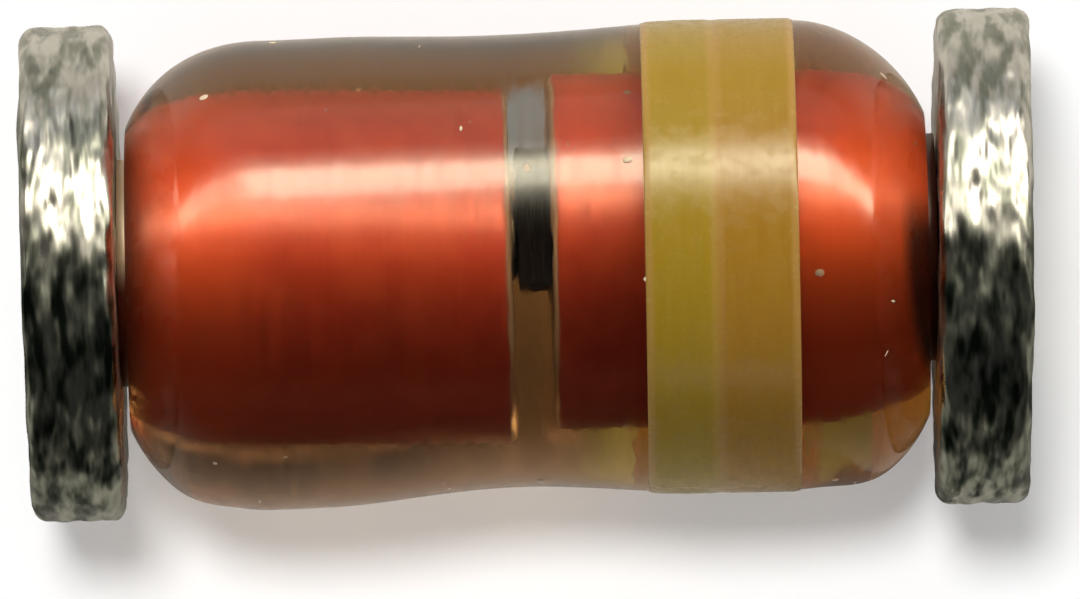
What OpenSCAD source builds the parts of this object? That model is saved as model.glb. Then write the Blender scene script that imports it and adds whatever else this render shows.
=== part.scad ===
// Glass surface-mount Schottky diode. Two red slugs press a silicon die between
// their faces, a glass sleeve is melted on to both slugs, and a tinned metal disc
// closes each end. A painted band marks the cathode.
// The body lies along X with its cathode towards +X. Z = 0 is the circuit board.

/* [Package] */
// Length over both end discs
overall_len = 3.35; // [3.2:0.05:3.7]

/* [End discs] */
// Diameter of an end disc
disc_d = 1.66; // [1.61:0.01:1.80]
// Thickness of an end disc
disc_t = 0.31; // [0.25:0.01:0.36]
// Radius on both edges of a disc's rim
disc_edge_r = 0.05; // [0.02:0.01:0.10]

/* [Slugs] */
// Diameter of a slug
slug_d = 0.76; // [0.72:0.01:0.84]
// Radius on the edge of the slug face that meets the die
slug_edge_r = 0.03; // [0.01:0.005:0.04]

/* [Glass sleeve] */
// Diameter of the glass
glass_d = 1.57; // [1.51:0.01:1.60]
// Diameter of the flat ring at each end of the glass
glass_end_d = 0.97; // [0.90:0.01:1.10]
// Radius of the melted shoulder at each end
shoulder_r = 0.49; // [0.40:0.01:0.55]
// Bare slug left between the glass and a disc
glass_to_disc = 0.03; // [0.02:0.01:0.06]
// Depth of the waist round the die
waist_depth = 0.028; // [0.015:0.001:0.040]
// Length of the waist
waist_len = 1.00; // [0.80:0.05:1.40]
// Distance of the waist's middle from the middle of the package
waist_mid = -0.06; // [-0.10:0.01:0.05]
// Diameter of the hole that the glass leaves round the die
die_hole_d = 0.53; // [0.48:0.01:0.60]

/* [Die] */
// Width of the square silicon die
die_w = 0.25; // [0.20:0.01:0.30]
// Thickness of the die
die_t = 0.12; // [0.08:0.01:0.16]
// Distance of the die's middle from the axis
die_offset = 0.06; // [0:0.01:0.09]
// Shift of the die gap from the middle of the package, towards the cathode
gap_shift = 0.02; // [-0.05:0.01:0.05]

/* [Contact bump] */
// Diameter of the silver bump on the die's anode side
bump_d = 0.18; // [0.12:0.01:0.24]
// Height of the bump
bump_t = 0.02; // [0.015:0.005:0.04]

/* [Cathode band] */
// Width of the painted band
band_w = 0.51; // [0.45:0.01:0.55]
// Distance of the band's middle from the middle of the package
band_mid = 0.645; // [0.60:0.005:0.70]
// Thickness of the paint
band_t = 0.015; // [0.012:0.001:0.020]
// Width of the groove between the band's two stripes
band_groove_w = 0.03; // [0.02:0.005:0.05]
// Distance of the groove from the band's edge that faces the die
band_groove_at = 0.24; // [0.15:0.01:0.28]
// Depth of the groove
band_groove_depth = 0.006; // [0.003:0.001:0.009]

/* [Hidden] */
$fn = 180;
axis_h = disc_d / 2;
glass_r = glass_d / 2;
slug_r = slug_d / 2;

// Stations along the axis, from the middle of the package
disc_inner = overall_len / 2 - disc_t;
glass_half = disc_inner - glass_to_disc;
gap_len = die_t + bump_t;
anode_face = gap_shift - gap_len / 2;
cathode_face = gap_shift + gap_len / 2;
band_from = band_mid - band_w / 2;
groove_from = band_from + band_groove_at - band_groove_w / 2;

// The shoulder's arc is tangent to the wall and is cut off by the end ring
shoulder_drop = glass_r - glass_end_d / 2;
shoulder_len = sqrt(2 * shoulder_r * shoulder_drop - pow(shoulder_drop, 2));

// The waist is an arc that leaves the wall half the waist's length from its middle
waist_arc_r = (pow(waist_len / 2, 2) + pow(waist_depth, 2)) / (2 * waist_depth);
waist_arc_at = glass_r - waist_depth + waist_arc_r;

ENDS = [-1, 1];

// Spins a half section about the diode's axis: across is its radius, up is along +X
module spin_on_axis() {
    translate([0, 0, axis_h]) rotate([0, 90, 0]) rotate_extrude() children();
}

// Half section of a plain bar of radius r, from one station along the axis
module bar(r, from, length) {
    translate([0, from]) square([r, length]);
}

// Half section of a bar with both edges rounded, centred on the origin
module round_edged_bar(r, half, edge_r) {
    bar(r, edge_r - half, 2 * (half - edge_r));
    bar(r - edge_r, -half, 2 * half);
    for (end = ENDS) translate([r - edge_r, end * (half - edge_r)]) circle(edge_r);
}

// Half section of the glass with no bore, made thicker everywhere by grow
module glass_section(grow = 0) {
    difference() {
        intersection() {
            round_edged_bar(
                glass_r + grow,
                glass_half - shoulder_len + shoulder_r + grow,
                shoulder_r + grow
            );
            bar(disc_d, -glass_half, 2 * glass_half);
        }
        translate([waist_arc_at, waist_mid]) circle(waist_arc_r - grow);
    }
}

// The glass is melted on to the slugs and into the ring between their faces
module glass_sleeve() {
    color([0.72, 0.66, 0.55, 0.4]) spin_on_axis() difference() {
        glass_section();
        anode_slug_section();
        cathode_slug_section();
        bar(die_hole_d / 2, anode_face, gap_len);
    }
}

// The paint follows the glass, and is thinner along the groove between its stripes
module cathode_band() {
    color("goldenrod") spin_on_axis() difference() {
        intersection() {
            glass_section(band_t);
            bar(disc_d, band_from, band_w);
        }
        glass_section();
        difference() {
            bar(disc_d, groove_from, band_groove_w);
            glass_section(band_t - band_groove_depth);
        }
    }
}

// End disc; end is -1 at the anode and 1 at the cathode
module end_disc(end) {
    color("silver") spin_on_axis() translate([0, end * (overall_len - disc_t) / 2])
        round_edged_bar(disc_d / 2, disc_t / 2, disc_edge_r);
}

// Half section of a slug that runs up from its die face at the origin
module slug_section(length) {
    intersection() {
        translate([0, length]) round_edged_bar(slug_r, length, slug_edge_r);
        bar(slug_r, 0, length);
    }
}

module anode_slug_section() {
    translate([0, anode_face]) mirror([0, 1]) slug_section(disc_inner + anode_face);
}

module cathode_slug_section() {
    translate([0, cathode_face]) slug_section(disc_inner - cathode_face);
}

module anode_slug() {
    color("firebrick") spin_on_axis() anode_slug_section();
}

module cathode_slug() {
    color("firebrick") spin_on_axis() cathode_slug_section();
}

// The die sits on the cathode slug, a little to one side of the axis
module schottky_die() {
    color("dimgray") translate([cathode_face - die_t / 2, die_offset, axis_h])
        cube([die_t, die_w, die_w], center = true);
}

module anode_bump() {
    color("gainsboro") translate([0, die_offset, 0]) spin_on_axis()
        bar(bump_d / 2, anode_face, bump_t);
}

glass_sleeve();
cathode_band();
end_disc(-1);  // anode_disc
end_disc(1);  // cathode_disc
anode_slug();
cathode_slug();
schottky_die();
anode_bump();
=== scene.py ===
import math
from functools import partial

import bmesh
import bpy
from bpy.props import FloatProperty, FloatVectorProperty, IntProperty, PointerProperty
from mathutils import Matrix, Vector, noise


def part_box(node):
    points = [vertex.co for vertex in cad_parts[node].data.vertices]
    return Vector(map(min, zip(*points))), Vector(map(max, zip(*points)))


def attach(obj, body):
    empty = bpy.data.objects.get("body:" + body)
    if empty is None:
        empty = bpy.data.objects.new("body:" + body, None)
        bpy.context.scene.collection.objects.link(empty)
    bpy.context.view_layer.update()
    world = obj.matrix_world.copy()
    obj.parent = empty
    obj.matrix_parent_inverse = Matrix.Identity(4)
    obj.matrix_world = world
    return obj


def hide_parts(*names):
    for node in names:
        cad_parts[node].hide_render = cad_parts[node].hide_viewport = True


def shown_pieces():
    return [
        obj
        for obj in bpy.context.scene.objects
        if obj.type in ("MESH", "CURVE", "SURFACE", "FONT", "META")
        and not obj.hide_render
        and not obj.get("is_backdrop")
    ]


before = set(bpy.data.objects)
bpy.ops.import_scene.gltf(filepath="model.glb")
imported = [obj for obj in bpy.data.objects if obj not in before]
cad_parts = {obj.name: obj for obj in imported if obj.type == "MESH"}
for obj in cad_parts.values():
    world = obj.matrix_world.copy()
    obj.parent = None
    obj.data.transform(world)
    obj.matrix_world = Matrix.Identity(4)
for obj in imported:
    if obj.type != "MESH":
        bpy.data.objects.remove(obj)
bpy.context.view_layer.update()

bl_info = {
    "name": "Glass Schottky Diode",
    "version": (1, 0, 0),
    "blender": (4, 5, 0),
    "location": "3D View > Sidebar > Diode",
    "description": "Dresses the solids of a glass surface-mount Schottky diode",
    "category": "Object",
}

MM = 0.001
UM = 0.000001
BODY = "root"

# The photograph's frame, and where the diode's middle lies in it, in pixels
PHOTO_W = 1080
PHOTO_CENTRE = (540.0, 299.5)
DIODE_CENTRE = (527.4, 265.0)
PIXELS_PER_METRE = 299.0 / MM

WHITE = (1.0, 1.0, 1.0)
BLACK = (0.0, 0.0, 0.0)

BOXES = {node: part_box(node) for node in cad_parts}


def span_of(node):
    """First and last station of a CAD node along the axis."""
    low, high = BOXES[node]
    return low.x, high.x


def radius_of(node):
    """Radius of a round CAD node, from the height of its box."""
    low, high = BOXES[node]
    return (high.z - low.z) / 2


AXIS_HEIGHT = radius_of("anode_disc")
GLASS_HALF = span_of("glass_sleeve")[1]
ANODE_FACE = span_of("anode_slug")[1]
CATHODE_FACE = span_of("cathode_slug")[0]
SLUG_RADIUS = radius_of("anode_slug")
GAP_MIDDLE = (ANODE_FACE + CATHODE_FACE) / 2
GAP_HALF = (CATHODE_FACE - ANODE_FACE) / 2


def size(name, description, default):
    """A length that a user may change, in metres."""
    return FloatProperty(
        name=name, description=description, default=default, subtype="DISTANCE", unit="LENGTH", precision=6
    )


def angle(name, description, degrees):
    """An angle that a user may change, given here in degrees."""
    return FloatProperty(
        name=name, description=description, default=math.radians(degrees), subtype="ANGLE", unit="ROTATION"
    )


def amount(name, description, default):
    """A plain number that a user may change."""
    return FloatProperty(name=name, description=description, default=default)


def colour(name, description, default):
    """A linear colour that a user may change."""
    return FloatVectorProperty(
        name=name, description=description, default=default, size=3, min=0.0, max=1.0, subtype="COLOR"
    )


class GlassSettings(bpy.types.PropertyGroup):
    """Form and tint of the glass sleeve"""

    shoulder_radius: size("Shoulder radius", "Radius of the melted shoulder at each end", 0.49 * MM)
    end_ring: size("End ring", "Diameter of the flat ring at each end", 0.97 * MM)
    waist_depth: size("Waist depth", "How far the glass sank in round the die", 0.028 * MM)
    waist_length: size("Waist length", "Length of the sunken stretch", 1.19 * MM)
    waist_middle: size("Waist middle", "Station of the deepest point", -0.06 * MM)
    sway: size("Sway", "How far the melted glass strays sideways from the axis", 0.017 * MM)
    fullness: size("Fullness", "How much fuller the melted shoulders are on the front", 42 * UM)
    seal: size("Seal", "How far the glass reaches into the surface of a slug it is melted on to", 2 * UM)
    core: size("Core", "Diameter of the hole that the glass leaves inside the die", 20 * UM)
    tint: colour("Tint", "Colour of light after a long way through the glass", (0.95, 0.72, 0.4))
    density: amount("Density", "How strongly the glass tints, per metre", 1000.0)


class DiscSettings(bpy.types.PropertyGroup):
    """Form and tin plating of the end discs"""

    edge_radius: size("Edge radius", "Radius on both edges of the rim", 0.05 * MM)
    anode_lean: angle("Anode lean", "Turn of the anode disc about the upright", 0.6)
    cathode_lean: angle("Cathode lean", "Turn of the cathode disc about the upright", -1.1)
    lump_depth: size("Lump depth", "Height of the lumps in the plating", 7 * UM)
    lump_size: size("Lump size", "Length of a lump round the rim", 170 * UM)
    bright: colour("Bright tin", "Fresh tin", (0.72, 0.715, 0.66))
    dull: colour("Dull tin", "Tin gone grey", (0.3, 0.32, 0.27))
    # Painted shade: darker, greener copies of the tin for the front of the rim, which faces away from the key
    # light
    front_shade_tin: colour("Front_shade", "Tin gone dark on the front of the rim", (0.045, 0.064, 0.046))
    shaded_green_tin: colour("Greenish tin", "Tin between the tarnished patches", (0.5, 0.54, 0.45))
    face: colour("Worn face", "Dull patches on the flat faces", (0.48, 0.48, 0.44))


class SlugSettings(bpy.types.PropertyGroup):
    """Form and colours of the slugs"""

    edge_radius: size("Edge radius", "Radius on the edge of the die face", 0.03 * MM)
    cathode_shift: size("Cathode shift", "How far the cathode slug was pressed in off the axis", 0.034 * MM)
    red: colour("Red", "Oxide red of the slug", (0.75, 0.12, 0.048))
    deep_red: colour("Deep red", "Darker patches of the oxide", (0.62, 0.062, 0.025))
    # Painted light: a brighter copy of the red for the back, which faces the key light; it also makes the red
    # brighter towards both ends
    lit_orange: colour("Orange", "Brighter oxide at the ends and on the back", (1.0, 0.17, 0.042))
    # Painted shade: a dark red for the die faces, both necks and the front of the cathode end
    shaded_oxide: colour("Shaded oxide", "Die faces, and the ends next to the discs", (0.09, 0.022, 0.016))
    bare: colour("Bare metal", "Metal at the edge of the die faces and at the neck", (0.88, 0.74, 0.6))


class BandSettings(bpy.types.PropertyGroup):
    """Form and colours of the cathode band"""

    thickness: size("Thickness", "Thickness of the paint", 7 * UM)
    groove_at: size("Groove", "Distance of the groove from the edge that faces the die", 0.24 * MM)
    groove_width: size("Groove width", "Width of the groove between the stripes", 0.03 * MM)
    groove_depth: size("Groove depth", "Depth of the groove", 2.5 * UM)
    lime: colour("Lime stripe", "Paint of the stripe that faces the die", (0.211, 0.136, 0.01))
    ochre: colour("Ochre stripe", "Paint of the stripe that faces the cathode disc", (0.214, 0.11, 0.011))
    bead: colour("Bead", "Paint drawn up along both edges", (0.29, 0.165, 0.055))
    worn: colour("Worn paint", "Streaks in both stripes", (0.36, 0.25, 0.04))
    bead_width: size("Bead width", "Width of the bead", 22 * UM)


class DieSettings(bpy.types.PropertyGroup):
    """Form and colours of the die and its bump"""

    width: size("Width", "Width of the die across the axis", 0.28 * MM)
    offset: size("Offset", "Distance of the die's middle from the axis", 0.096 * MM)
    chip: size("Chipped edge", "Width of the bevel that sawing leaves", 6 * UM)
    silicon: colour("Silicon", "Colour of the sawn die", (0.008, 0.007, 0.007))
    saw_marks: colour("Saw marks", "Paler marks of the saw", (0.03, 0.03, 0.034))
    silver: colour("Silver", "Colour of the contact bump", (0.78, 0.77, 0.74))
    dull_silver: colour("Dull silver", "Darker grains of the bump", (0.6, 0.58, 0.55))


class SpeckSettings(bpy.types.PropertyGroup):
    """Dust grains on the glass"""

    count: IntProperty(name="Count", description="Grains on the whole of the glass", default=70, min=0)
    seed: IntProperty(name="Seed", description="Seed of the scatter", default=4)
    grain: size("Grain", "Radius of the largest grain", 17 * UM)
    pale: colour("Pale dust", "Colour of the grains", (0.55, 0.45, 0.36))
    dark: colour("Dark dust", "Darker spots on the grains", (0.4, 0.33, 0.27))


class StageSettings(bpy.types.PropertyGroup):
    """Camera, lights and floor"""

    focal_length: amount("Focal length", "Focal length of the camera's long lens, in millimetres", 600.0)
    roll: angle("Roll", "Roll of the camera, which tilts the diode in the picture", -1.15)
    glass_radiance: amount("Glass key brightness", "Brightness of the key light on the glass", 10.5)
    disc_radiance: amount("Disc key brightness", "Brightness of the key light on the discs", 7.0)
    glass_key: angle("Glass key", "Angle from the zenith of the key light on the glass", 44.2)
    disc_key: angle("Disc key", "Angle from the zenith of the key light on the discs", 40.0)
    glass_tone: colour("Glass key tone", "Colour of the key light on the glass", (1.0, 0.92, 0.68))
    disc_tone: colour("Disc key tone", "Colour of the key light on the discs", (1.0, 0.91, 0.76))
    light_distance: size("Light distance", "Distance of the key lights from the axis", 20 * MM)
    floor_light: amount("Floor light", "Light on the floor that the diode shades", 2.0)
    floor_fill: amount("Floor fill", "Light on the floor that reaches the shadow too", 0.82)
    front_fill: amount("Front fill", "Soft light on the front of the diode that no mirror shows", 0.6)
    band_light: amount("Band light", "Light that the glass carries to the inside of the band", 1.6)
    ambient: amount("Ambient", "Soft light from the whole room on matte surfaces", 0.3)
    surround: amount("Surround", "Brightness of the dark room in reflections", 0.025)
    rear_glow: amount("Rear glow", "Brightness of the room behind the diode in reflections", 0.5)
    backdrop: amount("Backdrop", "Brightness of the room where the camera sees past the floor", 0.95)
    floor_colour: colour("Floor", "Colour of the floor", (0.88, 0.88, 0.88))
    front_tint: colour("Front tint", "Card in front, seen through the glass", (1.0, 0.68, 0.45))
    under_tint: colour("Under tint", "Card under the slugs, seen through the glass", (1.0, 0.58, 0.25))
    rear_tint: colour("Rear tint", "Card behind, seen through the glass", (1.0, 0.85, 0.65))
    band_tint: colour("Band tint", "Card under the painted band", (1.0, 0.84, 0.22))
    gap_tint: colour("Gap tint", "Card under the gap between the slugs", (0.6, 0.76, 1.0))
    mirror_tint: colour("Mirror tint", "Card in reflections", (1.0, 0.92, 0.8))


def on_axis(x, radius, turn):
    """Point at a station along the axis; turn is 0 on top and grows towards +Y."""
    return Vector((x, radius * math.sin(turn), AXIS_HEIGHT + radius * math.cos(turn)))


def beside_axis(x, radius, turn, shift):
    """Point about a line that lies a given length from the axis, towards +Y."""
    return on_axis(x, radius, turn) + Vector((0, shift, 0))


def arc(centre_x, centre_r, radius, start, end, steps):
    """Points of a round stretch of a half section; angle 0 is along +X and 90 degrees is outwards."""
    angles = [math.radians(start + (end - start) * k / steps) for k in range(steps + 1)]
    return [(centre_x + radius * math.cos(a), centre_r + radius * math.sin(a)) for a in angles]


def between(first, last, steps):
    """Evenly spaced points from first to last of a half section, both ends left out."""
    shares = [k / steps for k in range(1, steps)]
    return [tuple(a + (b - a) * share for a, b in zip(first, last)) for share in shares]


def spin(name, section, segments, closed=False, place=on_axis):
    """Mesh of a half section spun about the axis.

    A point of radius 0 is a pole, and closed joins the last point to the first.
    """
    points, rows, faces = [], [], []
    for x, radius in section:
        count = segments if radius > 0 else 1
        rows.append([len(points) + k for k in range(count)])
        points += [place(x, radius, math.tau * k / segments) for k in range(count)]
    for here, there in zip(rows, rows[1:] + rows[:1] if closed else rows[1:]):
        for k in range(segments):
            corners = ((here, k), (here, k + 1), (there, k + 1), (there, k))
            quad = [row[number % len(row)] for row, number in corners]
            faces.append(tuple(dict.fromkeys(quad)))
    mesh = bpy.data.meshes.new(name)
    mesh.from_pydata(points, [], faces)
    return finish_mesh(mesh)


def finish_mesh(mesh):
    """Points the faces outwards and shades them smooth."""
    shape = bmesh.new()
    shape.from_mesh(mesh)
    bmesh.ops.recalc_face_normals(shape, faces=shape.faces)
    shape.to_mesh(mesh)
    shape.free()
    mesh.shade_smooth()
    return mesh


def add_piece(name, mesh, material, node=None):
    """Puts a piece of the diode in the scene, in place of a CAD node if one is named."""
    piece = bpy.data.objects.new(name, mesh)
    bpy.context.scene.collection.objects.link(piece)
    mesh.materials.clear()
    mesh.materials.append(material)
    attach(piece, BODY)
    if node:
        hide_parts(node)


def smooth_step(value, low, high):
    """0 below low, 1 above high and an even S between them."""
    share = min(1.0, max(0.0, (value - low) / (high - low)))
    return share * share * (3 - 2 * share)


def glass_radius(x, glass):
    """Radius of the outside of the glass at a station along the axis."""
    wall = radius_of("glass_sleeve")
    drop = wall - glass.end_ring / 2
    run = math.sqrt(2 * glass.shoulder_radius * drop - drop**2)
    past = abs(x) - (GLASS_HALF - run)
    if past > 0:
        return wall - glass.shoulder_radius + math.sqrt(glass.shoulder_radius**2 - past**2)
    share = 2 * (x - glass.waist_middle) / glass.waist_length
    return wall - glass.waist_depth * max(0.0, 1 - share**2) ** 2


def slug_shift(x):
    """How far the slug at a station along the axis lies towards +Y."""
    return bpy.context.scene.diode_slug.cathode_shift * smooth_step(x, ANODE_FACE, CATHODE_FACE)


# Stretch of the axis in which the glass strays from front to back, and the station where it turns back
SWAY_STRETCH = (-0.9 * MM, 0.1 * MM)
SWAY_TURN = 0.9 * MM


def glass_sway(x, glass):
    """How far the middle of the glass lies towards +Y at a station along the axis."""
    swing = 2 * smooth_step(x, *SWAY_STRETCH) - 1
    return glass.sway * swing * (1 - smooth_step(abs(x), SWAY_TURN, GLASS_HALF))


def in_metres(points):
    """Points of a curve whose places are given in millimetres."""
    return [(place * MM, level) for place, level in points]


class Wiring:
    """A node tree, and short ways to add its nodes."""

    def __init__(self, tree):
        self.tree = tree

    def add(self, kind, **values):
        """A new node; values go to its sockets by name, and a socket given as a value is linked."""
        node = self.tree.nodes.new(kind)
        for name, value in values.items():
            self.set(node.inputs[name], value)
        return node

    def set(self, socket, value):
        """Links a socket to another, or gives it a plain value."""
        if isinstance(value, bpy.types.NodeSocket):
            self.tree.links.new(value, socket)
        elif hasattr(value, "__len__") and len(socket.default_value) == 4:
            socket.default_value = (*value, 1.0)
        else:
            socket.default_value = value

    def split(self, vector):
        """The three parts of a vector, by name."""
        return self.add("ShaderNodeSeparateXYZ", Vector=vector).outputs

    def sum(self, operation, first, *others):
        """Takes values together by one kind of arithmetic, from the first to the last."""
        for value in others or (0.0,):
            node = self.tree.nodes.new("ShaderNodeMath")
            node.operation = operation
            self.set(node.inputs[0], first)
            self.set(node.inputs[1], value)
            first = node.outputs[0]
        return first

    def away(self, value, middle):
        """How far a value lies from a middle, to either side."""
        return self.sum("ABSOLUTE", self.sum("SUBTRACT", value, middle))

    def ease(self, value, low, high, bottom=0.0, top=1.0):
        """Takes a value from bottom at low to top at high, with soft ends."""
        limits = {"From Min": low, "From Max": high, "To Min": bottom, "To Max": top}
        node = self.add("ShaderNodeMapRange", Value=value, **limits)
        node.interpolation_type = "SMOOTHSTEP"
        return node.outputs["Result"]

    def follow(self, value, points):
        """Level that follows a value through the given points, each a value and a level from 0 to 1."""
        first, last = points[0][0], points[-1][0]
        share = self.add("ShaderNodeMapRange", Value=value, **{"From Min": first, "From Max": last})
        curve = self.add("ShaderNodeFloatCurve", Value=share.outputs["Result"])
        knots = curve.mapping.curves[0].points
        for place, level in points[1:-1]:
            knots.new((place - first) / (last - first), level)
        knots[0].location = (0.0, points[0][1])
        knots[-1].location = (1.0, points[-1][1])
        for knot in knots:
            knot.handle_type = "AUTO_CLAMPED"
        curve.mapping.update()
        return curve.outputs[0]

    def blend(self, share, first, second):
        """Mixes two colours."""
        node = self.tree.nodes.new("ShaderNodeMix")
        node.data_type = "RGBA"
        colours = [socket for socket in node.inputs if socket.type == "RGBA"]
        self.set(node.inputs["Factor"], share)
        for socket, value in zip(colours, (first, second)):
            self.set(socket, value)
        return [socket for socket in node.outputs if socket.type == "RGBA"][0]


class Finish(Wiring):
    """A material with one Principled shader that is painted by place on the diode."""

    def __init__(self, name):
        self.material = bpy.data.materials.new(name)
        self.material.use_nodes = True
        super().__init__(self.material.node_tree)
        self.shader = self.tree.nodes["Principled BSDF"]
        self.place = self.add("ShaderNodeTexCoord").outputs["Object"]
        parts = self.split(self.place)
        # Station along the axis, and place across the diode, towards its back
        self.along, self.across = parts["X"], parts["Y"]

    def shade(self, **values):
        """Sets the shader's sockets; an underscore in a name stands for a space."""
        for name, value in values.items():
            self.set(self.shader.inputs[name.replace("_", " ")], value)

    def cloud(self, width, stretch=(1.0, 1.0, 1.0), detail=3.0, shift=0.0):
        """Noise with features about as wide as given, in metres, made longer along an axis by stretch."""
        mapping = self.add("ShaderNodeMapping", Vector=self.place, Location=(shift, shift, shift))
        self.set(mapping.inputs["Scale"], tuple(1 / (width * s) for s in stretch))
        cloud = self.add("ShaderNodeTexNoise", Vector=mapping.outputs[0], Scale=1.0, Detail=detail)
        return cloud.outputs["Fac"]

    def grade(self, cloud, bottom, top):
        """Takes a cloud from bottom in its hollows to top on its crests."""
        return self.ease(cloud, 0.3, 0.7, bottom, top)

    def radial(self):
        """Distance from the axis."""
        down = (0.0, 0.0, -AXIS_HEIGHT)
        flat = self.add("ShaderNodeMapping", Vector=self.place, Location=down, Scale=(0.0, 1.0, 1.0))
        length = self.tree.nodes.new("ShaderNodeVectorMath")
        length.operation = "LENGTH"
        self.set(length.inputs[0], flat.outputs[0])
        return length.outputs["Value"]

    def relief(self, height, depth):
        """Bump of a given depth, in metres, from a height that spans 1 from lowest to highest."""
        return self.add("ShaderNodeBump", Height=height, Distance=depth, Strength=1.0).outputs["Normal"]


def tin_finish(disc):
    """Lumpy tin plating with dull patches; the front of the rim, which faces away from the key light, is
    painted darker and greener as painted shade.
    """
    tin = Finish("mottled_tin")
    round_rim = (0.42, 1.5, 1.5)
    rim = (AXIS_HEIGHT - 1.4 * disc.edge_radius, AXIS_HEIGHT - 0.6 * disc.edge_radius)
    front = (0.18 * MM, -0.08 * MM)
    patches = tin.ease(tin.cloud(0.12 * MM, round_rim, detail=2.0), 0.36, 0.62)
    gloss = tin.cloud(0.1 * MM, round_rim, detail=2.0, shift=7.0)
    lumps = tin.sum("SUBTRACT", tin.cloud(0.12 * MM, round_rim, detail=1.0, shift=3.0), 0.5)
    on_rim = tin.ease(tin.radial(), *rim)
    # Painted shade: the front of the rim takes darker, greener copies of both tins
    front_shaded = tin.sum("MULTIPLY", on_rim, tin.ease(tin.across, *front))
    dull = tin.blend(front_shaded, tin.blend(on_rim, disc.face, disc.dull), disc.front_shade_tin)
    bright = tin.blend(front_shaded, disc.bright, disc.shaded_green_tin)
    lumps = tin.sum("MULTIPLY", lumps, tin.ease(on_rim, 0.0, 1.0, bottom=0.3))
    tin.shade(
        Base_Color=tin.blend(patches, dull, bright),
        Metallic=1.0,
        Roughness=tin.grade(gloss, 0.24, 0.42),
        Normal=tin.relief(lumps, depth=34 * UM),
    )
    return tin.material


def slug_finish(slug):
    """Red oxide on copper with drawn rings and bare metal at the edges of the die faces; painted light makes
    the red brighter on the back, which faces the key light, and leaves bare metal only on the lit side of the
    anode neck; the red is also brighter towards both ends; painted shade makes it dark on the die faces, at
    both necks and on the front of the cathode end.
    """
    red = Finish("red_oxide")
    along, across = red.along, red.across
    # Each stretch of the oxide and of its painted light and painted shade, from where it starts to where it is
    # full
    back_along, back_across = (0.05 * MM, 0.2 * MM), (0.1 * MM, 0.25 * MM)
    brighter_cathode_end, brighter_anode_end = (0.7 * MM, 1.0 * MM), (-0.8 * MM, -1.05 * MM)
    die_face = (GAP_HALF + 0.75 * slug.edge_radius, GAP_HALF + 0.4 * slug.edge_radius)
    die_face_edge = (0.84 * SLUG_RADIUS, 0.9 * SLUG_RADIUS)
    # Painted light: bare metal at the anode neck only on its lit side, towards the back
    lit_neck_along, lit_neck_across = (5 * UM - GLASS_HALF, -5 * UM - GLASS_HALF), (-0.08 * MM, 0.06 * MM)
    # Painted shade on the front of the cathode end, which faces away from the key light
    shade_along, shade_across = (GLASS_HALF - 190 * UM, GLASS_HALF - 130 * UM), (0.22 * MM, 0.05 * MM)
    # Painted shade in the necks between the glass and the discs
    cathode_neck = (GLASS_HALF - 50 * UM, GLASS_HALF - 25 * UM)
    anode_neck = (250 * UM - GLASS_HALF, 70 * UM - GLASS_HALF)

    patches = red.ease(red.cloud(0.14 * MM), 0.35, 0.7, top=0.5)
    streaks = red.cloud(0.03 * MM, (0.7, 14.0, 14.0), detail=2.0, shift=2.0)
    mottle = red.sum("ADD", patches, red.grade(streaks, 0.1, 0.4))
    # Painted light: the back, which faces the key light, takes the brighter red
    lit_back = red.sum("MULTIPLY", red.ease(along, *back_along, top=0.6), red.ease(across, *back_across))
    brighter_share = red.sum(
        "MAXIMUM", lit_back, red.ease(along, *brighter_cathode_end), red.ease(along, *brighter_anode_end, top=0.45)
    )
    # Painted shade on the die faces, in the gap between the slugs
    at_face = red.ease(red.away(along, GAP_MIDDLE), *die_face)
    at_edge = red.sum("MULTIPLY", at_face, red.ease(red.radial(), *die_face_edge))
    # Painted light: the anode neck shows bare metal only on its lit side; the rest of it takes painted shade
    bare_lit_neck = red.sum("MULTIPLY", red.ease(along, *lit_neck_along), red.ease(across, *lit_neck_across))
    in_shade = red.sum("MULTIPLY", red.ease(along, *shade_along), red.ease(across, *shade_across))
    # All the painted shade, which takes the dark red
    painted_shade = red.sum(
        "MAXIMUM", at_face, red.ease(along, *anode_neck, top=0.88), in_shade, red.ease(along, *cathode_neck)
    )
    oxide = red.blend(brighter_share, red.blend(mottle, slug.deep_red, slug.red), slug.lit_orange)
    shaded_oxide = red.blend(painted_shade, oxide, slug.shaded_oxide)
    red.shade(
        Base_Color=red.blend(red.sum("MAXIMUM", at_edge, bare_lit_neck), shaded_oxide, slug.bare),
        Metallic=1.0,
        Roughness=red.grade(streaks, 0.6, 0.68),
        Coat_Weight=1.0,
        Coat_Roughness=0.32,
        Normal=red.relief(streaks, depth=0.7 * UM),
    )
    return red.material


def glass_finish(glass):
    """Clear brownish glass with the faint ripples of melting."""
    clear = Finish("melted_glass")
    ripples = clear.cloud(0.1 * MM, (0.5, 1.6, 1.6), detail=1.0)
    columns = clear.cloud(0.06 * MM, (0.7, 7.0, 7.0), detail=1.0, shift=4.0)
    clear.shade(
        Base_Color=WHITE,
        Roughness=clear.ease(columns, 0.35, 0.7, bottom=0.05, top=0.16),
        IOR=1.56,
        Transmission_Weight=1.0,
        Normal=clear.relief(ripples, depth=1.6 * UM),
    )
    body = clear.add("ShaderNodeVolumeAbsorption", Color=glass.tint, Density=glass.density)
    clear.set(clear.tree.nodes["Material Output"].inputs["Volume"], body.outputs[0])
    return clear.material


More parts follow.
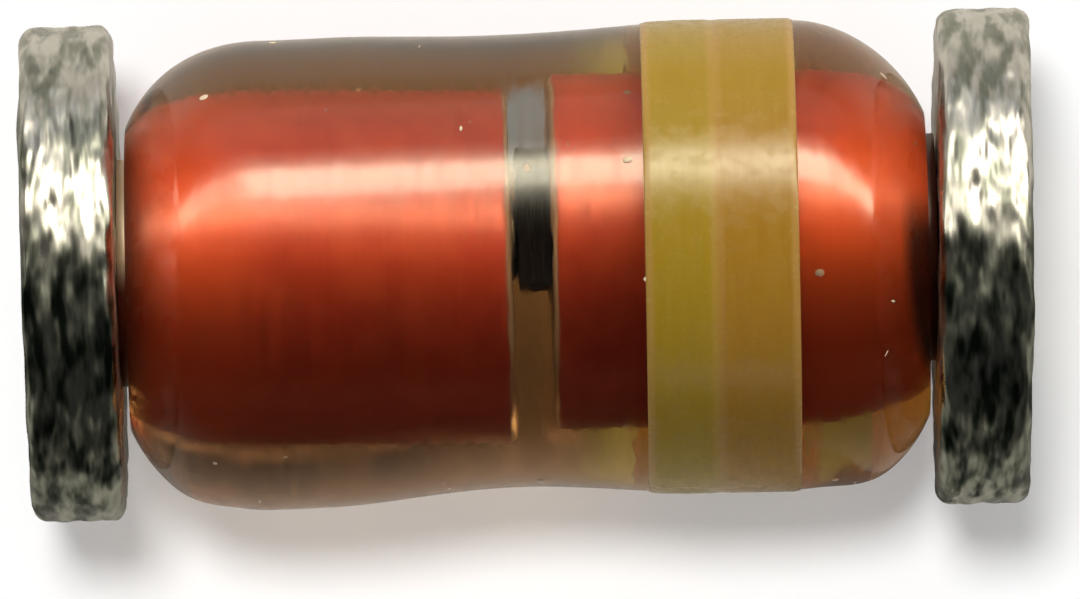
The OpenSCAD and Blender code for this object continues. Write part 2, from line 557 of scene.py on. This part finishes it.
def paint_finish(band):
    """Satin paint in two stripes, with a pale bead along its edges."""
    paint = Finish("band_paint")
    along = paint.along
    start, end = span_of("cathode_band")
    middle, reach = (start + end) / 2, (end - start) / 2
    half, groove = band.groove_width / 2, start + band.groove_at
    bead = (reach - 1.6 * band.bead_width, reach - 0.6 * band.bead_width)
    yellow_back = (0.35 * MM, 0.62 * MM)
    streaks = paint.cloud(0.03 * MM, (0.5, 8.0, 8.0))
    gloss = paint.cloud(0.05 * MM, detail=2.0, shift=4.0)
    second = paint.ease(along, groove - half, groove + half)
    on_front = paint.ease(paint.across, *yellow_back, bottom=1.0, top=0.3)
    stripes = paint.blend(paint.sum("MULTIPLY", second, on_front), band.lime, band.ochre)
    in_groove = paint.ease(paint.away(along, groove), 2 * half, half, top=0.35)
    at_bead = paint.ease(paint.away(along, middle), *bead, top=0.6)
    lined = paint.blend(in_groove, stripes, band.bead)
    beaded = paint.blend(at_bead, lined, band.bead)
    paint.shade(
        Base_Color=paint.blend(paint.ease(streaks, 0.3, 0.8, top=0.1), beaded, band.worn),
        Roughness=paint.grade(gloss, 0.16, 0.32),
        Specular_IOR_Level=0.5,
        Normal=paint.relief(streaks, depth=0.8 * UM),
    )
    return paint.material


def silicon_finish(die):
    """Sawn silicon, nearly black, with fine saw marks."""
    dark = Finish("sawn_silicon")
    marks = dark.cloud(0.012 * MM, (0.4, 6.0, 6.0), detail=2.0)
    dark.shade(
        Base_Color=dark.blend(dark.ease(marks, 0.4, 0.8), die.silicon, die.saw_marks),
        Roughness=dark.grade(marks, 0.4, 0.6),
        Specular_IOR_Level=0.1,
        Normal=dark.relief(marks, depth=0.6 * UM),
    )
    return dark.material


def silver_finish(die):
    """Plated silver with a grainy skin."""
    silver = Finish("plated_silver")
    grain = silver.cloud(0.01 * MM)
    silver.shade(
        Base_Color=silver.blend(grain, die.dull_silver, die.silver),
        Metallic=1.0,
        Roughness=silver.grade(grain, 0.25, 0.5),
        Normal=silver.relief(grain, depth=1.0 * UM),
    )
    return silver.material


def dust_finish(specks):
    """Pale dust with darker spots."""
    dust = Finish("pale_dust")
    dust.shade(Base_Color=dust.blend(dust.cloud(0.01 * MM), specks.dark, specks.pale), Roughness=0.8)
    return dust.material


class DIODE_OT_add_end_discs(bpy.types.Operator):
    """Adds the two tinned end discs, lumpy from plating and a little out of square"""

    bl_idname = "diode.add_end_discs"
    bl_label = "Add End Discs"

    SEGMENTS = 384
    FACE_STEPS = 36
    EDGE_STEPS = 6
    WALL_STEPS = 14
    # How much shorter a lump is along the axis than round the rim
    LUMP_SQUEEZE = 2.5
    # Level of the noise that lies on the surface of the solid
    LUMP_LEVEL = 0.4
    # Fall-off, spacing and number of the noise's octaves
    LUMP_OCTAVES = (1.0, 2.0, 2)

    def execute(self, context):
        disc = context.scene.diode_disc
        tin = tin_finish(disc)
        for node, lean in (("anode_disc", disc.anode_lean), ("cathode_disc", disc.cathode_lean)):
            mesh = spin(node + "_tinned", self.section(node, disc), self.SEGMENTS)
            self.plate(mesh, lean, disc)
            add_piece(node + "_tinned", mesh, tin, node)
        return {"FINISHED"}

    def section(self, node, disc):
        """Half section from the middle of one face, over the rim, to the middle of the other."""
        near, far = span_of(node)
        edge = disc.edge_radius
        flat = radius_of(node) - edge
        first_face = [(near, 0.0), *between((near, 0.0), (near, flat), self.FACE_STEPS)]
        rim_start = arc(near + edge, flat, edge, 180, 90, self.EDGE_STEPS)
        rim_end = arc(far - edge, flat, edge, 90, 0, self.EDGE_STEPS)
        wall = between(rim_start[-1], rim_end[0], self.WALL_STEPS)
        last_face = [*between((far, flat), (far, 0.0), self.FACE_STEPS), (far, 0.0)]
        return first_face + rim_start + wall + rim_end + last_face

    def plate(self, mesh, lean, disc):
        """Raises the lumps of the plating, which run round the rim, and leans the disc."""
        normals = [vertex.normal.copy() for vertex in mesh.vertices]
        for vertex, normal in zip(mesh.vertices, normals):
            spot = Vector((vertex.co.x * self.LUMP_SQUEEZE, vertex.co.y, vertex.co.z)) / disc.lump_size
            height = noise.fractal(spot, *self.LUMP_OCTAVES, noise_basis="PERLIN_ORIGINAL")
            vertex.co += normal * disc.lump_depth * (height - self.LUMP_LEVEL)
            vertex.co.x -= vertex.co.y * math.tan(lean)
        mesh.update()


class DIODE_OT_add_slugs(bpy.types.Operator):
    """Adds the two red slugs"""

    bl_idname = "diode.add_slugs"
    bl_label = "Add Slugs"

    SEGMENTS = 192
    FACE_STEPS = 8
    EDGE_STEPS = 8
    WALL_STEPS = 40
    BACK_STEPS = 4

    def execute(self, context):
        slug = context.scene.diode_slug
        red = slug_finish(slug)
        for node, face, inwards in (("anode_slug", ANODE_FACE, -1), ("cathode_slug", CATHODE_FACE, 1)):
            section = self.section(node, face, inwards, slug)
            place = partial(beside_axis, shift=slug_shift(face))
            mesh = spin(node + "_red", section, self.SEGMENTS, place=place)
            add_piece(node + "_red", mesh, red, node)
        return {"FINISHED"}

    def section(self, node, face, inwards, slug):
        """Half section from the middle of the die face to the middle of the face on the disc."""
        edge = slug.edge_radius
        radius = radius_of(node)
        near, far = span_of(node)
        front, rim, back = (0.0, 0.0), (far - near, radius), (far - near, 0.0)
        rounded = arc(edge, radius - edge, edge, 180, 90, self.EDGE_STEPS)
        die_face = [front, *between(front, rounded[0], self.FACE_STEPS)]
        wall = between(rounded[-1], rim, self.WALL_STEPS)
        disc_face = [rim, *between(rim, back, self.BACK_STEPS), back]
        return [(face + inwards * x, r) for x, r in die_face + rounded + wall + disc_face]


class DIODE_OT_add_die(bpy.types.Operator):
    """Adds the sawn die and its silver bump"""

    bl_idname = "diode.add_die"
    bl_label = "Add Die and Bump"

    SEGMENTS = 64
    FACE_STEPS = 4
    EDGE_STEPS = 6

    def execute(self, context):
        die = context.scene.diode_die
        add_piece("schottky_die_sawn", self.block(die), silicon_finish(die), "schottky_die")
        add_piece("anode_bump_silver", self.bump(), silver_finish(die), "anode_bump")
        return {"FINISHED"}

    def block(self, die):
        """The die with the chipped edges that a saw leaves."""
        near, far = span_of("schottky_die")
        shape = bmesh.new()
        bmesh.ops.create_cube(shape, size=1.0)
        bmesh.ops.scale(shape, vec=(far - near, die.width, die.width), verts=shape.verts)
        bmesh.ops.translate(shape, vec=((near + far) / 2, die.offset, AXIS_HEIGHT), verts=shape.verts)
        bmesh.ops.bevel(shape, geom=shape.edges, offset=die.chip, segments=2, affect="EDGES", profile=0.5)
        mesh = bpy.data.meshes.new("schottky_die_sawn")
        shape.to_mesh(mesh)
        shape.free()
        return mesh

    def bump(self):
        """A low round button with a soft edge."""
        low, high = BOXES["anode_bump"]
        height = high.x - low.x
        radius = radius_of("anode_bump")
        back, front = (low.x, 0.0), (high.x, 0.0)
        edge = arc(high.x - height, radius - height, height, 90, 0, self.EDGE_STEPS)
        back_face = [back, *between(back, edge[0], self.FACE_STEPS)]
        front_face = [*between(edge[-1], front, self.FACE_STEPS), front]
        place = partial(beside_axis, shift=(low.y + high.y) / 2)
        return spin("anode_bump_silver", back_face + edge + front_face, self.SEGMENTS, place=place)


class DIODE_OT_add_glass(bpy.types.Operator):
    """Adds the glass sleeve, melted on to both slugs"""

    bl_idname = "diode.add_glass"
    bl_label = "Add Glass Sleeve"

    SEGMENTS = 256
    STATIONS = 150
    RING_STEPS = 5
    WALL_STEPS = 12
    EDGE_STEPS = 6
    FACE_STEPS = 8
    # Distance from the middle at which a shoulder starts to be fuller, and at which it is full
    FULL_SHOULDER = (0.95 * MM, 1.2 * MM)

    def execute(self, context):
        glass = context.scene.diode_glass
        bore = SLUG_RADIUS - glass.seal
        stations = [GLASS_HALF * math.cos(math.pi * k / self.STATIONS) for k in range(self.STATIONS + 1)]
        outside = [(x, glass_radius(x, glass)) for x in stations]
        inside = self.bore(bore, glass)
        first_ring = between(outside[-1], inside[0], self.RING_STEPS)
        last_ring = between(inside[-1], outside[0], self.RING_STEPS)
        mesh = spin(
            "glass_sleeve_clear",
            outside + first_ring + inside + last_ring,
            self.SEGMENTS,
            closed=True,
            place=partial(self.strayed, bore=bore, glass=glass),
        )
        add_piece("glass_sleeve_clear", mesh, glass_finish(glass), "glass_sleeve")
        return {"FINISHED"}

    def bore(self, radius, glass):
        """Bore from the anode end to the cathode end; in the gap the glass closes in on the die."""
        anode_side = self.bore_side(radius, ANODE_FACE, -1, glass)
        cathode_side = self.bore_side(radius, CATHODE_FACE, 1, glass)
        return anode_side + cathode_side[::-1]

    def bore_side(self, radius, face, outwards, glass):
        """Bore from one end of the glass, over the edge of a slug's face, to the core of the die."""
        step = bpy.context.scene.diode_slug.edge_radius
        inner = step - glass.seal
        rounded = arc(-step, radius - inner, inner, 90, 0, self.EDGE_STEPS)
        edge = [(face - outwards * x, r) for x, r in rounded]
        end, core = (outwards * GLASS_HALF, radius), (face + outwards * glass.seal, glass.core / 2)
        wall = between(end, edge[0], self.WALL_STEPS)
        slug_face = between(edge[-1], core, self.FACE_STEPS)
        return [end, *wall, *edge, *slug_face, core]

    def strayed(self, x, radius, turn, bore, glass):
        """Point of the glass; its outside sways from the axis and its bore follows the slugs."""
        point = on_axis(x, radius, turn)
        if radius <= bore:
            point.y += slug_shift(x)
            return point
        front = max(0.0, -math.sin(turn)) * smooth_step(radius, bore, glass.end_ring / 2)
        point.y += glass_sway(x, glass) - glass.fullness * front * smooth_step(abs(x), *self.FULL_SHOULDER)
        return point


class DIODE_OT_add_band(bpy.types.Operator):
    """Adds the painted cathode band, two stripes with a groove between them"""

    bl_idname = "diode.add_band"
    bl_label = "Add Cathode Band"

    SEGMENTS = 256
    STATIONS = 72
    SOFT_EDGE = 24 * UM

    def execute(self, context):
        band, glass = context.scene.diode_band, context.scene.diode_glass
        near, far = span_of("cathode_band")
        stations = [near + (far - near) * k / self.STATIONS for k in range(self.STATIONS + 1)]
        outside = [(x, glass_radius(x, glass) + self.thickness(x, near, far, band)) for x in stations]
        inside = [(x, glass_radius(x, glass) - glass.seal) for x in reversed(stations)]
        mesh = spin(
            "cathode_band_paint",
            outside + inside,
            self.SEGMENTS,
            closed=True,
            place=lambda x, radius, turn: beside_axis(x, radius, turn, glass_sway(x, glass)),
        )
        add_piece("cathode_band_paint", mesh, paint_finish(band), "cathode_band")
        return {"FINISHED"}

    def thickness(self, x, near, far, band):
        """Thickness of the paint at a station: less in the groove and at both edges."""
        edge = smooth_step(min(x - near, far - x), -self.SOFT_EDGE / 2, self.SOFT_EDGE)
        groove = 1 - smooth_step(abs(x - near - band.groove_at), 0.0, band.groove_width)
        return band.thickness * edge - band.groove_depth * groove


class DIODE_OT_add_specks(bpy.types.Operator):
    """Scatters dust grains over the glass"""

    bl_idname = "diode.add_specks"
    bl_label = "Add Dust Specks"

    BALL_DETAIL = 2
    # Length, width and height of the smallest and the largest grain, as shares of the grain's size
    SMALLEST = (0.1, 0.1, 0.05)
    LARGEST = (1.0, 1.0, 0.45)

    def execute(self, context):
        specks = context.scene.diode_specks
        dust = dust_finish(specks)
        glass = bpy.data.objects["glass_sleeve_clear"]
        source = bpy.data.objects.new("speck_source", glass.data.copy())
        context.scene.collection.objects.link(source)
        area = sum(face.area for face in glass.data.polygons)
        tree, inputs = self.scatter_tree(dust)
        scatter = source.modifiers.new("scatter", "NODES")
        scatter.node_group = tree
        scatter[inputs["Density"]] = specks.count / area
        scatter[inputs["Grain"]] = specks.grain
        scatter[inputs["Seed"]] = specks.seed
        evaluated = source.evaluated_get(context.evaluated_depsgraph_get())
        mesh = bpy.data.meshes.new_from_object(evaluated)
        bpy.data.objects.remove(source)
        mesh.name = "glass_specks"
        add_piece("glass_specks", mesh, dust)
        return {"FINISHED"}

    def scatter_tree(self, dust):
        """Node tree that puts flat grains on a surface, and the identifiers of its inputs."""
        tree = bpy.data.node_groups.new("dust_scatter", "GeometryNodeTree")
        kinds = {"Surface": "Geometry", "Density": "Float", "Grain": "Float", "Seed": "Int"}
        inputs = {}
        for name, kind in kinds.items():
            socket = tree.interface.new_socket(name, in_out="INPUT", socket_type="NodeSocket" + kind)
            inputs[name] = socket.identifier
        tree.interface.new_socket("Grains", in_out="OUTPUT", socket_type="NodeSocketGeometry")
        wiring = Wiring(tree)
        given = wiring.add("NodeGroupInput").outputs
        points = wiring.add(
            "GeometryNodeDistributePointsOnFaces",
            Mesh=given["Surface"],
            Density=given["Density"],
            Seed=given["Seed"],
        ).outputs
        ball = wiring.add("GeometryNodeMeshIcoSphere", Radius=given["Grain"], Subdivisions=self.BALL_DETAIL)
        sizes = wiring.add("FunctionNodeRandomValue", Seed=given["Seed"])
        sizes.data_type = "FLOAT_VECTOR"
        wiring.set(sizes.inputs[0], self.SMALLEST)
        wiring.set(sizes.inputs[1], self.LARGEST)
        grains = wiring.add(
            "GeometryNodeInstanceOnPoints",
            Points=points["Points"],
            Rotation=points["Rotation"],
            Instance=ball.outputs["Mesh"],
            Scale=sizes.outputs[0],
        )
        real = wiring.add("GeometryNodeRealizeInstances", Geometry=grains.outputs["Instances"])
        dusted = wiring.add("GeometryNodeSetMaterial", Geometry=real.outputs["Geometry"])
        dusted.inputs["Material"].default_value = dust
        wiring.add("NodeGroupOutput", Grains=dusted.outputs["Geometry"])
        return tree, inputs


class DIODE_OT_add_stage(bpy.types.Operator):
    """Adds the pale floor, the lights and the camera"""

    bl_idname = "diode.add_stage"
    bl_label = "Add Stage"

    FLOOR_HALF = 300 * MM
    CARD_HEIGHT = 10 * UM
    BAND_LAMP_DROP = 0.1 * MM
    SHADE_SOFTNESS = 12.0
    # Where the distant lamps stand: degrees from the zenith, and from the back round to the left
    FLOOR_LIGHT = (14.0, 22.0)
    FRONT_LIGHT = (60.0, 180.0)
    # Where the glow of the room behind the diode starts and is full, by how far a ray points back
    REAR = (0.6, 0.95)
    # Glow of the card by its place towards the back, in millimetres, through the glass and in a mirror
    GLASS_GLOW = (
        (-12.0, 0.02), (-6.0, 0.12), (-3.0, 0.22), (-1.4, 0.1), (-0.8, 0.07), (-0.4, 0.04),
        (-0.12, 0.042), (-0.06, 0.03), (-0.02, 0.06), (0.05, 0.19), (0.2, 0.21), (0.6, 0.48),
        (1.2, 0.75), (2.2, 0.8), (5.0, 0.4), (12.0, 0.02),
    )
    MIRROR_GLOW = (
        (-12.0, 0.08), (-6.0, 0.16), (-3.0, 0.3), (-2.0, 0.38), (-1.3, 0.42), (-0.8, 0.2), (-0.3, 0.1),
        (0.3, 0.25), (0.8, 0.6), (1.2, 0.72), (2.5, 0.72), (5.0, 0.5), (12.0, 0.3),
    )
    # Light that the paint lets through to the card, by place along the axis, in millimetres
    BAND_GLOW = (
        (0.0, 0.0), (0.25, 0.04), (0.38, 0.15), (0.6, 0.2), (0.85, 0.08), (1.05, 0.05), (1.25, 0.0),
    )
    # Level of that light from which the card has its tint in full
    BAND_TINT_LEVEL = 0.06
    # Light under the gap between the slugs
    GAP_GLOW = 0.2
    # Stretches of the card, each from where it starts to where it is full
    UNDER_SLUG = (0.45 * MM, 0.2 * MM)
    UNDER_TINT, REAR_TINT = (-0.6 * MM, -0.2 * MM), (0.1 * MM, 0.6 * MM)
    GAP_ALONG = (1.2 * GAP_HALF, 0.8 * GAP_HALF)
    GAP_FRONT, GAP_BACK = (70 * UM, 90 * UM), (140 * UM, 115 * UM)
    SHADED_ALONG, SHADED_ACROSS = (0.6 * MM, 1.1 * MM), (0.0, -0.6 * MM)
    PAST_GLASS = (1.3 * MM, 1.4 * MM)
    # Way from the glass to the card that tells rays through the gap from the longer ones through the rim
    GAP_RAY = (135 * UM, 112 * UM)
    # Share of the mirrored glow that is left in the shade of the cathode end
    SHADED_LEVEL = 0.4
    # Brightness of a key light by how far it lies below its middle and to the right, in degrees
    KEY_ACROSS = (
        (-30, 0.0), (-20, 0.03), (-14, 0.12), (-9, 0.34), (-3, 0.9), (3, 1.0), (9, 0.45),
        (14, 0.1), (19, 0.0),
    )
    KEY_ALONG = (
        (-74, 0.0), (-71, 0.04), (-67, 0.16), (-62, 0.28), (-55, 0.36), (-40, 0.4), (-28, 0.42), (-10, 0.85),
        (0, 1.0), (20, 1.0), (36, 0.75), (50, 0.7), (66, 0.8), (75, 0.7), (79, 0.0),
    )

    def execute(self, context):
        stage = context.scene.diode_stage
        discs = self.group("discs", [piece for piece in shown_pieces() if "disc" in piece.name])
        inside = self.group("glass_and_slugs", [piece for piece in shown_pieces() if "disc" not in piece.name])
        ground = self.group("ground", [self.floor(stage)])
        self.card(stage)
        away = stage.light_distance
        self.key_light("glass_key", away, stage.glass_key, stage.glass_radiance, stage.glass_tone, inside)
        self.key_light("disc_key", away, stage.disc_key, stage.disc_radiance, stage.disc_tone, discs)
        self.distant_lamp("floor_lamp", stage.floor_light, ground, self.FLOOR_LIGHT, shadow=True)
        self.distant_lamp("floor_fill", stage.floor_fill, ground, self.FLOOR_LIGHT, shadow=False)
        self.distant_lamp("front_fill", stage.front_fill, inside, self.FRONT_LIGHT, shadow=False)
        self.band_lamp(stage.band_light)
        self.surround(context.scene, stage)
        self.camera(context.scene, stage)
        context.scene.view_settings.view_transform = "Standard"
        return {"FINISHED"}

    def group(self, name, members):
        """Collection that a lamp is limited to."""
        collection = bpy.data.collections.new(name)
        for member in members:
            collection.objects.link(member)
        return collection

    def sheet(self, name, material, z=0.0):
        """A level sheet on the stage."""
        half = self.FLOOR_HALF
        mesh = bpy.data.meshes.new(name)
        corners = [(x * half, y * half, z) for x, y in ((-1, -1), (1, -1), (1, 1), (-1, 1))]
        mesh.from_pydata(corners, [], [(0, 1, 2, 3)])
        mesh.materials.append(material)
        sheet = bpy.data.objects.new(name, mesh)
        bpy.context.scene.collection.objects.link(sheet)
        sheet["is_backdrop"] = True
        return sheet

    def floor(self, stage):
        """Pale floor under the diode."""
        matte = Finish("floor_matte")
        matte.shade(Base_Color=stage.floor_colour, Roughness=1.0, Specular_IOR_Level=0.0)
        return self.sheet("floor", matte.material)

    def card(self, stage):
        """Glowing card on the floor, dark in front and pale behind, that only mirrors and the glass show."""
        glow = Finish("card_glow")
        along, across = glow.along, glow.across
        ray = glow.add("ShaderNodeLightPath").outputs
        mirrored = ray["Is Reflection Ray"]
        under = glow.ease(glow.sum("ABSOLUTE", across), *self.UNDER_SLUG)
        under_band = glow.follow(along, in_metres(self.BAND_GLOW))
        in_gap = glow.sum(
            "MULTIPLY",
            glow.ease(glow.away(along, GAP_MIDDLE), *self.GAP_ALONG),
            glow.ease(across, *self.GAP_FRONT),
            glow.ease(across, *self.GAP_BACK),
            glow.ease(ray["Ray Length"], *self.GAP_RAY),
        )
        through = glow.sum(
            "ADD",
            glow.follow(across, in_metres(self.GLASS_GLOW)),
            glow.sum("MULTIPLY", under, under_band),
            glow.sum("MULTIPLY", in_gap, self.GAP_GLOW),
        )
        shaded = glow.sum(
            "MULTIPLY", glow.ease(along, *self.SHADED_ALONG), glow.ease(across, *self.SHADED_ACROSS)
        )
        lit = glow.sum(
            "MAXIMUM",
            glow.ease(shaded, 0.0, 1.0, bottom=1.0, top=self.SHADED_LEVEL),
            glow.ease(glow.sum("ABSOLUTE", along), *self.PAST_GLASS),
        )
        mirror = glow.sum("MULTIPLY", glow.follow(across, in_metres(self.MIRROR_GLOW)), lit)
        by_band = glow.sum("MULTIPLY", under, glow.ease(under_band, 0.0, self.BAND_TINT_LEVEL))
        tint = glow.blend(glow.ease(across, *self.UNDER_TINT), stage.front_tint, stage.under_tint)
        tint = glow.blend(glow.ease(across, *self.REAR_TINT), tint, stage.rear_tint)
        tint = glow.blend(by_band, tint, stage.band_tint)
        tint = glow.blend(in_gap, tint, stage.gap_tint)
        glow.shade(
            Base_Color=BLACK,
            Specular_IOR_Level=0.0,
            Emission_Strength=glow.ease(mirrored, 0.0, 1.0, through, mirror),
            Emission_Color=glow.blend(mirrored, tint, stage.mirror_tint),
        )
        card = self.sheet("reflection_card", glow.material, self.CARD_HEIGHT)
        card.visible_camera = False
        card.visible_shadow = False
        card.visible_diffuse = False

    def lamp(self, name, kind, energy, tone, receivers):
        """A lamp that lights only the given pieces."""
        data = bpy.data.lights.new(name, kind)
        data.energy = energy
        data.color = tone
        lamp = bpy.data.objects.new(name, data)
        bpy.context.scene.collection.objects.link(lamp)
        lamp.light_linking.receiver_collection = receivers
        return lamp

    def strip(self, name, radiance, length, width, tone, receivers):
        """A flat lamp of a given brightness, whatever its size."""
        strip = self.lamp(name, "AREA", 4 * radiance * length * width, tone, receivers)
        strip.data.shape = "RECTANGLE"
        strip.data.size = length
        strip.data.size_y = width
        return strip

    def key_light(self, name, distance, middle, radiance, tone, receivers):
        """Strip light beside the diode, on its +Y side, that fades towards all its edges."""
        along, across = (
            [(distance * math.tan(math.radians(place)), level) for place, level in points]
            for points in (self.KEY_ALONG, self.KEY_ACROSS)
        )
        length, width = along[-1][0] - along[0][0], across[-1][0] - across[0][0]
        light = self.strip(name, radiance, length, width, tone, receivers)
        down = Vector((0, math.cos(middle), -math.sin(middle))) * (across[0][0] + across[-1][0]) / 2
        light.location = on_axis((along[0][0] + along[-1][0]) / 2, distance, middle) + down
        light.rotation_euler = (-middle, 0, 0)
        light.data.use_nodes = True
        wiring = Wiring(light.data.node_tree)
        spot = wiring.split(wiring.add("ShaderNodeNewGeometry").outputs["Parametric"])
        levels = []
        for axis, points in (("X", along), ("Y", across)):
            first, last = points[0][0], points[-1][0]
            shares = [((place - first) / (last - first), level) for place, level in points]
            levels.append(wiring.follow(spot[axis], shares))
        wiring.set(wiring.tree.nodes["Emission"].inputs["Strength"], wiring.sum("MULTIPLY", *levels))

    def band_lamp(self, radiance):
        """Lamp in the glass under the cathode slug, for the inside of the band, that shows nowhere."""
        near, far = span_of("cathode_band")
        band = self.group("band", [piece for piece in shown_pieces() if "band" in piece.name])
        lamp = self.strip("band_lamp", radiance, far - near, 2 * SLUG_RADIUS, WHITE, band)
        lamp.location = on_axis((near + far) / 2, SLUG_RADIUS + self.BAND_LAMP_DROP, math.pi)
        lamp.visible_camera = False
        lamp.visible_glossy = False
        lamp.visible_transmission = False

    def distant_lamp(self, name, strength, receivers, stand, shadow):
        """Distant soft lamp that no mirror and no glass shows."""
        lamp = self.lamp(name, "SUN", strength, WHITE, receivers)
        lamp.data.angle = math.radians(self.SHADE_SOFTNESS)
        lamp.data.use_shadow = shadow
        lamp.visible_glossy = False
        lamp.visible_transmission = False
        tilt, side = (math.radians(degrees) for degrees in stand)
        back, left = math.sin(tilt) * math.cos(side), math.sin(tilt) * math.sin(side)
        lamp.rotation_euler = Vector((-left, back, math.cos(tilt))).to_track_quat("Z", "Y").to_euler()

    def surround(self, scene, stage):
        """Dark room for reflections that lights matte surfaces softly, with a pale backdrop."""
        world = bpy.data.worlds.new("surround")
        world.use_nodes = True
        wiring = Wiring(world.node_tree)
        ray = wiring.add("ShaderNodeLightPath").outputs
        towards = wiring.split(wiring.add("ShaderNodeTexCoord").outputs["Generated"])
        level = wiring.ease(towards["Y"], *self.REAR, stage.surround, stage.rear_glow)
        for kind, other in (("Diffuse Depth", stage.ambient), ("Is Camera Ray", stage.backdrop)):
            level = wiring.ease(ray[kind], 0.0, 1.0, level, other)
        room = wiring.tree.nodes["Background"]
        wiring.set(room.inputs["Color"], WHITE)
        wiring.set(room.inputs["Strength"], level)
        scene.world = world

    def camera(self, scene, stage):
        """Camera straight above, placed so that the diode falls where the photograph has it."""
        data = bpy.data.cameras.new("camera")
        data.lens = stage.focal_length
        data.clip_start = 1 * MM
        camera = bpy.data.objects.new("camera", data)
        scene.collection.objects.link(camera)
        view_width = PHOTO_W / PIXELS_PER_METRE
        distance = view_width * data.lens / data.sensor_width
        right = (PHOTO_CENTRE[0] - DIODE_CENTRE[0]) / PIXELS_PER_METRE
        up = (DIODE_CENTRE[1] - PHOTO_CENTRE[1]) / PIXELS_PER_METRE
        cosine, sine = math.cos(stage.roll), math.sin(stage.roll)
        camera.location = (right * cosine - up * sine, right * sine + up * cosine, AXIS_HEIGHT + distance)
        camera.rotation_euler = (0, 0, stage.roll)
        scene.camera = camera


class DIODE_PT_panel(bpy.types.Panel):
    """Lists the steps that dress the diode"""

    bl_idname = "DIODE_PT_panel"
    bl_label = "Glass Diode"
    bl_space_type = "VIEW_3D"
    bl_region_type = "UI"
    bl_category = "Diode"

    def draw(self, context):
        for step in STEPS:
            self.layout.operator(step.bl_idname)


SETTINGS = {
    "diode_glass": GlassSettings,
    "diode_disc": DiscSettings,
    "diode_slug": SlugSettings,
    "diode_band": BandSettings,
    "diode_die": DieSettings,
    "diode_specks": SpeckSettings,
    "diode_stage": StageSettings,
}
STEPS = (
    DIODE_OT_add_end_discs,
    DIODE_OT_add_slugs,
    DIODE_OT_add_die,
    DIODE_OT_add_glass,
    DIODE_OT_add_band,
    DIODE_OT_add_specks,
    DIODE_OT_add_stage,
)
CLASSES = (*SETTINGS.values(), *STEPS, DIODE_PT_panel)


def register():
    """Registers the classes and hangs the settings on the scene."""
    for cls in CLASSES:
        bpy.utils.register_class(cls)
    for name, group in SETTINGS.items():
        setattr(bpy.types.Scene, name, PointerProperty(type=group))


def unregister():
    """Takes the settings and the classes away again."""
    for name in SETTINGS:
        delattr(bpy.types.Scene, name)
    for cls in reversed(CLASSES):
        bpy.utils.unregister_class(cls)


def main():
    """Dresses the diode and sets the stage."""
    register()
    bpy.ops.diode.add_end_discs()
    bpy.ops.diode.add_slugs()
    bpy.ops.diode.add_die()
    bpy.ops.diode.add_glass()
    bpy.ops.diode.add_band()
    bpy.ops.diode.add_specks()
    bpy.ops.diode.add_stage()


if __name__ == "__main__":
    main()
